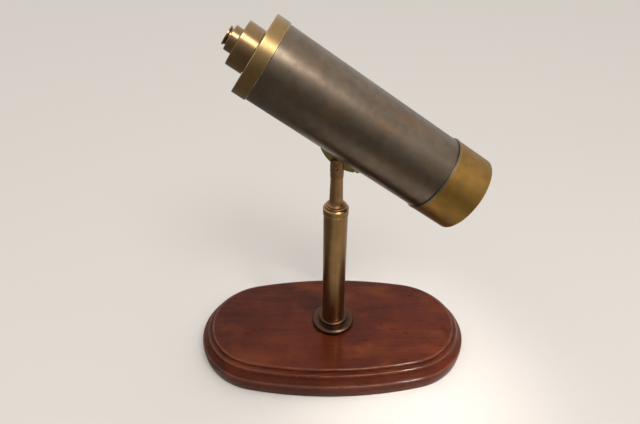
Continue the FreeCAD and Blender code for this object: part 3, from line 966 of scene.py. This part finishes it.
def make_pivot_screw():
    """The slotted screw across the fork."""
    crown_radius = 2.2 * MM
    body = plain_turned_mesh("screw", [
        (AXLE, -SCREW_REACH),
        (SCREW_RADIUS, -SCREW_REACH),
        (SCREW_RADIUS, SCREW_SEAT),
        (SCREW_HEAD_RADIUS, SCREW_SEAT),
        (SCREW_HEAD_RADIUS, SCREW_REACH),
        (crown_radius, SCREW_REACH + 0.35 * MM),
        (AXLE, SCREW_REACH + 0.45 * MM),
    ], segments=72)
    half_length, half_width, slot_floor = 4 * MM, 0.45 * MM, SCREW_REACH - 0.3 * MM
    slot = box_mesh(
        "driver_slot", (-half_length, -half_width, slot_floor), (half_length, half_width, 8 * MM))
    mesh = carved_mesh("slotted_pivot_screw", body, [("DIFFERENCE", slot)], bevel=0.12 * MM)
    turn_of_slot = Matrix.Rotation(math.radians(35), 4, "Z")
    mesh.transform(across_the_fork() @ turn_of_slot)
    place_piece("slotted_pivot_screw", mesh, POST, "post", "fork_bronze", ["pivot_screw"])


# ---------------------------------------------------------------- saddle


def pivot_drop():
    """How far the pivot lies under the telescope's axis."""
    return -(TUBE.matrix.inverted() @ PIVOT).y


def make_tongue():
    """The upright blade under the saddle: a segment of a disc with a boss round the pivot."""
    plate = TUBE.span("saddle_plate")
    drop = pivot_drop()
    half_thickness = 1.9 * MM
    blade_radius = 36 * MM
    blade_bottom = TUBE.span("barrel_tube").outer + 10.2 * MM
    centre = blade_radius - blade_bottom + drop
    back, front = 21 * MM, 16.5 * MM
    top = drop - plate.outer + 0.1 * MM
    boss = 5.5 * MM
    hole = SCREW_RADIUS + RUNNING_GAP
    around = 360
    angles = angles_round(around)
    outline = []
    for angle in angles:
        c, s = math.cos(angle), math.sin(angle)
        ray = centre * s + math.sqrt(max(0.0, blade_radius**2 - (centre * c)**2))
        if c:
            ray = min(ray, (front if c > 0 else back) / abs(c))
        if s > 0:
            ray = min(ray, top / s)
        outline.append(max(ray, boss) if s < 0 else ray)
    outline = np.array(outline)
    edge = 0.35 * MM
    # From the bored middle out over one face, round the broken edge and back over the other face.
    one_side = [(None, 0), (3 * edge, 0), (edge, 1), (0, 1)]
    layers = [(-1, inset, worn) for inset, worn in one_side]
    layers += [(1, inset, worn) for inset, worn in reversed(one_side)]
    rings, wear = [], []
    for side, inset, worn in layers:
        radius = np.full(around, hole) if inset is None else outline - inset
        depth = half_thickness if inset != 0 else half_thickness - edge
        rings.append(np.column_stack([
            np.full(around, side * depth), radius * np.sin(angles) - drop, radius * np.cos(angles)]))
        wear.append(worn)
    grime = [0] * len(wear)
    mesh = grid_mesh(
        "saddle_blade", rings[::-1], None, closed=True, capped=False, wear=wear[::-1], grime=grime)
    mesh.set_sharp_from_angle(angle=math.radians(30))
    place_piece("saddle_blade", mesh, TUBE, "barrel", "saddle_brass", ["saddle_tongue"])


def make_saddle_plate():
    """The curved oval plate that lies along the underside of the tube."""
    plate = TUBE.span("saddle_plate")
    half_length = (plate.end - plate.start) / 2
    half_width = 14 * MM
    angles = angles_round(96)
    edge = 0.4 * MM
    rim = 1 - edge / half_width
    shares = (0.01, 0.25, 0.5, 0.75, rim)
    layers = [(share_out, plate.outer, 0) for share_out in shares]
    layers += [(1.0, plate.outer - edge, 1), (1.0, plate.inner + edge, 1)]
    layers += [(share_out, plate.inner, 0) for share_out in reversed(shares)]
    rings = []
    for share_out, radius, _ in layers:
        sideways = share_out * half_width * np.sin(angles)
        lift = np.sqrt(radius**2 - sideways**2)
        rings.append(np.column_stack([sideways, -lift, share_out * half_length * np.cos(angles)]))
    wear = [1 if share_out >= rim else 0 for share_out, _, _ in layers]
    grime = [0] * len(wear)
    mesh = grid_mesh("saddle_strap", rings, None, closed=False, capped=True, wear=wear, grime=grime)
    mesh.set_sharp_from_angle(angle=math.radians(30))
    place_piece("saddle_strap", mesh, TUBE, "barrel", "saddle_brass", ["saddle_plate"])


def make_rivets():
    """The four domed rivets that hold the saddle to the tube."""
    plate = TUBE.span("saddle_plate")
    tube = TUBE.span("barrel_tube")
    axle = 0.03 * MM
    shank, tail, head, dome = 1.2 * MM, 2.0 * MM, 2.2 * MM, 1.5 * MM
    seat, clench = plate.outer - 0.25 * MM, tube.inner + 0.1 * MM
    stem = turned_mesh("rivet", [
        (axle, -seat - 1.7 * MM),
        (dome, -seat - 1.5 * MM, 1.0 * MM),
        (head, -seat - 0.7 * MM, 0.5 * MM),
        (head, -seat),
        (shank, -seat),
        (shank, -clench),
        (tail, -clench),
        (tail, -clench + 0.6 * MM, 0.3 * MM),
        (axle, -clench + 0.6 * MM),
    ], solid=True, segments=40)
    from_middle = 16 * MM
    lean = math.radians(12)
    made = bmesh.new()
    lay = Matrix.Rotation(-math.pi / 2, 4, "X")
    for along in (-1, 1):
        for side in (-1, 1):
            one = stem.copy()
            swing = Matrix.Rotation(lean * side, 4, "Z")
            one.transform(Matrix.Translation((0, 0, along * from_middle)) @ swing @ lay)
            made.from_mesh(one)
    mesh = bpy.data.meshes.new("rivet_heads")
    made.to_mesh(mesh)
    made.free()
    mesh.shade_smooth()
    place_piece("rivet_heads", mesh, TUBE, "barrel", "saddle_brass", ["saddle_rivets"])


# ---------------------------------------------------------------- main tube and its ends


def make_main_tube():
    """The dark tube and the thin lip at the back of the hood."""
    tube = TUBE.span("barrel_tube")
    turn("main_tube", ["barrel_tube"], TUBE, [
        (tube.inner, tube.start),
        (tube.outer, tube.start),
        (tube.outer, tube.end),
        (tube.inner, tube.end),
    ], "barrel", "barrel_bronze", segments=224)
    lip = TUBE.span("barrel_lip_ring")
    turn("tube_lip", ["barrel_lip_ring"], TUBE, [
        (lip.inner, lip.start),
        (lip.outer, lip.start, 0.5 * MM),
        (lip.outer, lip.end, 0.4 * MM),
        (lip.inner, lip.end),
    ], "barrel", "barrel_bronze", segments=224)


def make_end_ring():
    """The brass ring that closes the eye end of the tube."""
    ring = TUBE.span("barrel_end_collar")
    tube = TUBE.span("barrel_tube")
    wall, plate_thickness = 1.8 * MM, 4 * MM
    turn("eye_end_ring", ["barrel_end_collar"], TUBE, [
        (ring.inner, ring.start),
        (ring.outer, ring.start, 0.9 * MM),
        (ring.outer, tube.start, 0.5 * MM),
        (tube.inner, tube.start),
        (tube.inner, ring.end, 0.4 * MM),
        (tube.inner - wall, ring.end, 0.4 * MM),
        (tube.inner - wall, ring.start + plate_thickness),
        (ring.inner, ring.start + plate_thickness),
    ], "barrel", "end_brass", segments=224)


def make_hood():
    """The brass hood round the objective, its front edge turned in."""
    hood = TUBE.span("objective_hood")
    tube = TUBE.span("barrel_tube")
    lip = 1.6 * MM
    turn("objective_shade", ["objective_hood"], TUBE, [
        (tube.outer, hood.start),
        (hood.outer, hood.start, 0.5 * MM),
        (hood.outer, hood.end, 0.7 * MM),
        (hood.inner, hood.end, 0.5 * MM),
        (hood.inner, hood.end - lip),
        (tube.outer, hood.end - lip - 0.8 * MM),
    ], "barrel", "end_brass", segments=224, look="hood_brass")


# ---------------------------------------------------------------- objective


def glass_face(radius, place, sag, outward):
    """One face of a lens, from its middle to its edge, as (radius, place, normal) rows."""
    rows = []
    for out in np.linspace(0.02 * MM, radius, 15):
        if not sag:
            rows.append((out, place, (0, outward)))
            continue
        sphere = (radius**2 + sag**2) / (2 * abs(sag))
        rise = math.sqrt(sphere**2 - out**2) - (sphere - abs(sag))
        lean = out / sphere
        rows.append((out, place + outward * math.copysign(rise, sag),
                     (math.copysign(lean, sag), outward * math.sqrt(1 - lean**2))))
    return rows


def lens_mesh(name, radius, rear, front, rear_sag, front_sag):
    """A turned lens between two edge places; a positive sag bulges, a negative one dishes in."""
    edge = 0.02 * MM
    rows = glass_face(radius, rear, rear_sag, -1)
    rows += [(radius, rear + edge, (1, 0)), (radius, front - edge, (1, 0))]
    rows += glass_face(radius, front, front_sag, 1)[::-1]
    circle = circle_of(angles_round(144))
    rings = spun(circle, [row[:2] for row in rows])
    normals = spun(circle, [row[2] for row in rows])
    return grid_mesh(name, rings, normals, closed=False, capped=True)


def make_objective():
    """The cell, its ring and the two glasses behind the hood."""
    cell = TUBE.span("objective_cell")
    tube = TUBE.span("barrel_tube")
    flint = TUBE.span("flint_lens")
    crown = TUBE.span("crown_lens")
    ring = TUBE.span("objective_retaining_ring")
    turn("objective_mount", ["objective_cell"], TUBE, [
        (cell.inner, cell.start),
        (tube.inner, cell.start, 0.4 * MM),
        (tube.inner, tube.end),
        (cell.outer, tube.end),
        (cell.outer, cell.end, 0.5 * MM),
        (flint.outer, cell.end),
        (flint.outer, flint.start),
        (cell.inner, flint.start),
    ], "barrel", "blackened_brass", segments=192)
    turn("objective_ring", ["objective_retaining_ring"], TUBE, [
        (ring.inner + 0.8 * MM, ring.start),
        (ring.outer, ring.start),
        (ring.outer, ring.end),
        (ring.inner, ring.end),
        (ring.inner, ring.start + 0.45 * MM),
    ], "barrel", "blackened_brass", segments=192)
    curve = 2.74 * MM
    gap = 0.03 * MM
    glasses = [
        ("flint_glass", "flint_lens", flint.start, flint.end - gap, 0, -curve),
        ("crown_glass", "crown_lens", crown.start + curve, crown.end - curve, curve, curve),
    ]
    for name, node, rear, front, rear_sag, front_sag in glasses:
        mesh = lens_mesh(name, flint.outer - gap, rear, front, rear_sag, front_sag)
        place_piece(name, mesh, TUBE, "barrel", "lens_glass", [node])


# ---------------------------------------------------------------- draws


def make_wide_draw():
    """The wide draw tube and the brass ring on its end."""
    tube = TUBE.span("draw_1_tube")
    ring = TUBE.span("draw_1_collar")
    turn("wide_draw_tube", ["draw_1_tube"], TUBE, [
        (tube.inner, tube.start), (tube.outer, tube.start), (tube.outer, tube.end), (tube.inner, tube.end),
    ], "draw_1", "draw_brass")
    turn("wide_draw_ring", ["draw_1_collar"], TUBE, [
        (ring.inner, ring.start),
        (ring.outer, ring.start, 0.6 * MM),
        (ring.outer, ring.end, 0.4 * MM),
        (tube.outer, ring.end),
        (tube.outer, tube.start),
        (ring.inner, tube.start),
    ], "draw_1", "draw_brass")


def make_slim_draw():
    """The slim draw tube, the ring on its end and the turned eye cup."""
    tube = TUBE.span("draw_2_tube")
    ring = TUBE.span("draw_2_collar")
    turn("slim_draw_tube", ["draw_2_tube"], TUBE, [
        (tube.inner, tube.start), (tube.outer, tube.start), (tube.outer, tube.end), (tube.inner, tube.end),
    ], "draw_2", "draw_brass")
    turn("slim_draw_ring", ["draw_2_collar"], TUBE, [
        (ring.inner, ring.start),
        (ring.outer, ring.start, 0.5 * MM),
        (ring.outer, ring.end, 0.4 * MM),
        (tube.outer, ring.end),
        (tube.outer, tube.start),
        (ring.inner, tube.start),
    ], "draw_2", "draw_brass")
    cup = TUBE.span("eye_cup")
    neck = 7.0 * MM
    turn("turned_eye_cup", ["eye_cup"], TUBE, [
        (cup.inner, cup.end),
        (cup.inner, cup.start + 1.9 * MM, 0.4 * MM),
        (neck, cup.start, 0.3 * MM),
        (cup.outer, cup.start, 0.3 * MM),
        (cup.outer, cup.start + 1.2 * MM, 0.3 * MM),
        (neck, cup.start + 1.6 * MM, 0.3 * MM),
        (neck, ring.start),
        (ring.inner, ring.start),
        (ring.inner, cup.end),
    ], "draw_2", "draw_brass")


# ---------------------------------------------------------------- stage


def sky(stage):
    """Soft light from a pale room: bright above and behind, dim in front and below."""
    world = bpy.data.worlds.new("studio")
    bpy.context.scene.world = world
    graph = Graph(world)
    way = graph.add("ShaderNodeTexCoord", output="Generated")
    up_and_back = graph.add(
        "ShaderNodeVectorMath", {"operation": "DOT_PRODUCT"}, {0: way, 1: (0.0, 0.25, 0.97)}, "Value")
    pale = graph.between(up_and_back, -0.45, 0.80)
    seen = graph.add("ShaderNodeLightPath", output="Is Camera Ray")
    room = graph.mixed(pale, stage.room_dark, stage.room_pale)
    shown = graph.mixed(seen, room, stage.backdrop)
    background = graph.add("ShaderNodeBackground", {}, {"Color": shown, "Strength": stage.room_strength})
    graph.add("ShaderNodeOutputWorld", {}, {"Surface": background})


def soft_box(name, place, target, size, power, tint, spread=180):
    """A rectangular soft light aimed at a place, its spread in degrees."""
    light = bpy.data.lights.new(name, "AREA")
    light.shape = "RECTANGLE"
    light.size, light.size_y = size
    light.energy = power
    light.color = tint
    light.spread = math.radians(spread)
    lamp = bpy.data.objects.new(name, light)
    lamp.location = place
    lamp.rotation_euler = (Vector(target) - Vector(place)).to_track_quat("-Z", "Y").to_euler()
    bpy.context.scene.collection.objects.link(lamp)


def floor_cloth(stage):
    """Plain pale floor with the faintest unevenness."""
    graph = Graph(bpy.data.materials.new("pale_floor"))
    place = graph.place()
    soft = graph.noise(place, 0.6, 2.0)
    weave = graph.noise(place, 0.002, 2.0)
    tint = graph.mixed(soft * 0.12, stage.floor_colour, shade(stage.floor_colour, 0.9))
    return graph.surface(
        {"Specular IOR Level": 0.15},
        base_color=tint, roughness=0.9 - weave * 0.05, normal=graph.bump(weave, 0.0001, 0.3))


def make_floor(stage):
    """The floor, and the stretch of it that shows in the metal's reflections."""
    half_size = 6.0
    made = bmesh.new()
    bmesh.ops.create_grid(made, x_segments=2, y_segments=2, size=half_size)
    mesh = bpy.data.meshes.new("floor")
    made.to_mesh(mesh)
    made.free()
    mesh.materials.append(floor_cloth(stage))
    floor = bpy.data.objects.new("floor", mesh)
    floor.visible_glossy = False
    bpy.context.scene.collection.objects.link(floor)
    low, high = (-0.13, -0.36, -0.0002), (0.75, 0.60, 0.0002)
    sheen = bpy.data.objects.new("floor_in_reflections", box_mesh("floor_in_reflections", low, high))
    sheen.data.materials.append(mesh.materials[0])
    for way in ("visible_camera", "visible_diffuse", "visible_shadow", "visible_transmission"):
        setattr(sheen, way, False)
    bpy.context.scene.collection.objects.link(sheen)


def make_lights(stage):
    """The pale room, a soft key light and a narrow light on the front of the base."""
    sky(stage)
    soft_box(
        "key_light", place=(0.315, -0.72, 1.265), target=(-0.05, 0, 0.30), size=(0.5, 0.46),
        power=stage.key_power, tint=(1.0, 0.98, 0.95))
    soft_box(
        "base_light", place=(0.64, -0.77, 1.16), target=(0.07, -0.05, 0.02), size=(0.14, 0.14),
        power=stage.base_power, tint=(1.0, 0.96, 0.90), spread=12)


def make_camera(stage):
    """The camera, turned by its drop, its swing and its roll."""
    drop, swing, roll = stage.camera_drop, stage.camera_swing, stage.camera_roll
    ahead = Vector((
        math.sin(swing) * math.cos(drop), math.cos(swing) * math.cos(drop), -math.sin(drop)))
    right = Vector((math.cos(swing), -math.sin(swing), 0))
    above = right.cross(ahead)
    rolled_right = right * math.cos(roll) + above * math.sin(roll)
    rolled_above = above * math.cos(roll) - right * math.sin(roll)
    eye = bpy.data.cameras.new("camera")
    eye.lens = stage.camera_lens
    eye.sensor_width = 36
    eye.clip_start = 0.01
    camera = bpy.data.objects.new("camera", eye)
    camera.matrix_world = Matrix((rolled_right, rolled_above, -ahead)).transposed().to_4x4()
    camera.matrix_world.translation = stage.camera_place
    bpy.context.scene.collection.objects.link(camera)
    bpy.context.scene.camera = camera
    bpy.context.scene.view_settings.view_transform = "Standard"


# ---------------------------------------------------------------- operators


class TELESCOPE_OT_stage(bpy.types.Operator):
    """Lays the floor, hangs the lights and sets up the camera"""

    bl_idname = "telescope.stage"
    bl_label = "Stage"

    def execute(self, context):
        stage = context.scene.telescope_stage
        make_floor(stage)
        make_lights(stage)
        make_camera(stage)
        return {"FINISHED"}


class TELESCOPE_OT_base(bpy.types.Operator):
    """Makes the oval mahogany base and its felt"""

    bl_idname = "telescope.base"
    bl_label = "Moulded base"

    def execute(self, context):
        make_plinth()
        keep_nodes("base_felt")
        return {"FINISHED"}


class TELESCOPE_OT_column(bpy.types.Operator):
    """Turns the stepped foot, the column and its collar"""

    bl_idname = "telescope.column"
    bl_label = "Column"

    def execute(self, context):
        make_foot()
        make_column()
        keep_nodes("column_bolt", "bolt_washer", "column_plug", "swivel_bush")
        return {"FINISHED"}


class TELESCOPE_OT_post(bpy.types.Operator):
    """Turns the post and cuts the fork that holds the telescope"""

    bl_idname = "telescope.post"
    bl_label = "Swivel post"

    def execute(self, context):
        make_post()
        make_fork()
        make_pivot_screw()
        keep_nodes("post_washer", "post_nut", "friction_washers")
        return {"FINISHED"}


class TELESCOPE_OT_saddle(bpy.types.Operator):
    """Makes the plate, blade and rivets under the tube"""

    bl_idname = "telescope.saddle"
    bl_label = "Saddle"

    def execute(self, context):
        make_tongue()
        make_saddle_plate()
        make_rivets()
        return {"FINISHED"}


class TELESCOPE_OT_tube(bpy.types.Operator):
    """Rolls the dark main tube with its lip"""

    bl_idname = "telescope.tube"
    bl_label = "Main tube"

    def execute(self, context):
        make_main_tube()
        keep_nodes("light_stop")
        return {"FINISHED"}


class TELESCOPE_OT_ends(bpy.types.Operator):
    """Turns the eye end ring and the hood"""

    bl_idname = "telescope.ends"
    bl_label = "Brass ends"

    def execute(self, context):
        make_end_ring()
        make_hood()
        keep_nodes("draw_guide")
        return {"FINISHED"}


class TELESCOPE_OT_objective(bpy.types.Operator):
    """Mounts the two objective glasses"""

    bl_idname = "telescope.objective"
    bl_label = "Objective"

    def execute(self, context):
        make_objective()
        return {"FINISHED"}


class TELESCOPE_OT_wide_draw(bpy.types.Operator):
    """Makes the wide draw and its ring"""

    bl_idname = "telescope.wide_draw"
    bl_label = "Wide draw"

    def execute(self, context):
        make_wide_draw()
        keep_nodes("draw_1_guide", "draw_1_stop_ring")
        return {"FINISHED"}


class TELESCOPE_OT_slim_draw(bpy.types.Operator):
    """Makes the slim draw and the eye cup"""

    bl_idname = "telescope.slim_draw"
    bl_label = "Slim draw"

    def execute(self, context):
        make_slim_draw()
        keep_nodes(
            "draw_2_stop_ring", "eyepiece_cell", "eye_lens",
            "field_lens", "erector_cell", "erector_lenses")
        return {"FINISHED"}


OPERATORS = (
    TELESCOPE_OT_stage,
    TELESCOPE_OT_base,
    TELESCOPE_OT_column,
    TELESCOPE_OT_post,
    TELESCOPE_OT_saddle,
    TELESCOPE_OT_tube,
    TELESCOPE_OT_ends,
    TELESCOPE_OT_objective,
    TELESCOPE_OT_wide_draw,
    TELESCOPE_OT_slim_draw,
)


class TELESCOPE_PT_panel(bpy.types.Panel):
    """Lists the steps that build the telescope."""

    bl_idname = "TELESCOPE_PT_panel"
    bl_label = "Table Telescope"
    bl_space_type = "VIEW_3D"
    bl_region_type = "UI"
    bl_category = "Telescope"

    def draw(self, context):
        for operator in OPERATORS:
            self.layout.operator(operator.bl_idname)


SETTINGS = {
    "telescope_metal": MetalSettings,
    "telescope_wood": WoodSettings,
    "telescope_build": BuildSettings,
    "telescope_stage": StageSettings,
}


def register():
    """Registers the settings, the operators and the panel."""
    for key, group in SETTINGS.items():
        bpy.utils.register_class(group)
        setattr(bpy.types.Scene, key, PointerProperty(type=group))
    for operator in OPERATORS:
        bpy.utils.register_class(operator)
    bpy.utils.register_class(TELESCOPE_PT_panel)


def unregister():
    """Takes back everything that register adds."""
    bpy.utils.unregister_class(TELESCOPE_PT_panel)
    for operator in reversed(OPERATORS):
        bpy.utils.unregister_class(operator)
    for key, group in SETTINGS.items():
        delattr(bpy.types.Scene, key)
        bpy.utils.unregister_class(group)


def main():
    """Builds the telescope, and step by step."""
    register()
    for operator in OPERATORS:
        group, name = operator.bl_idname.split(".")
        getattr(getattr(bpy.ops, group), name)()


if __name__ == "__main__":
    main()
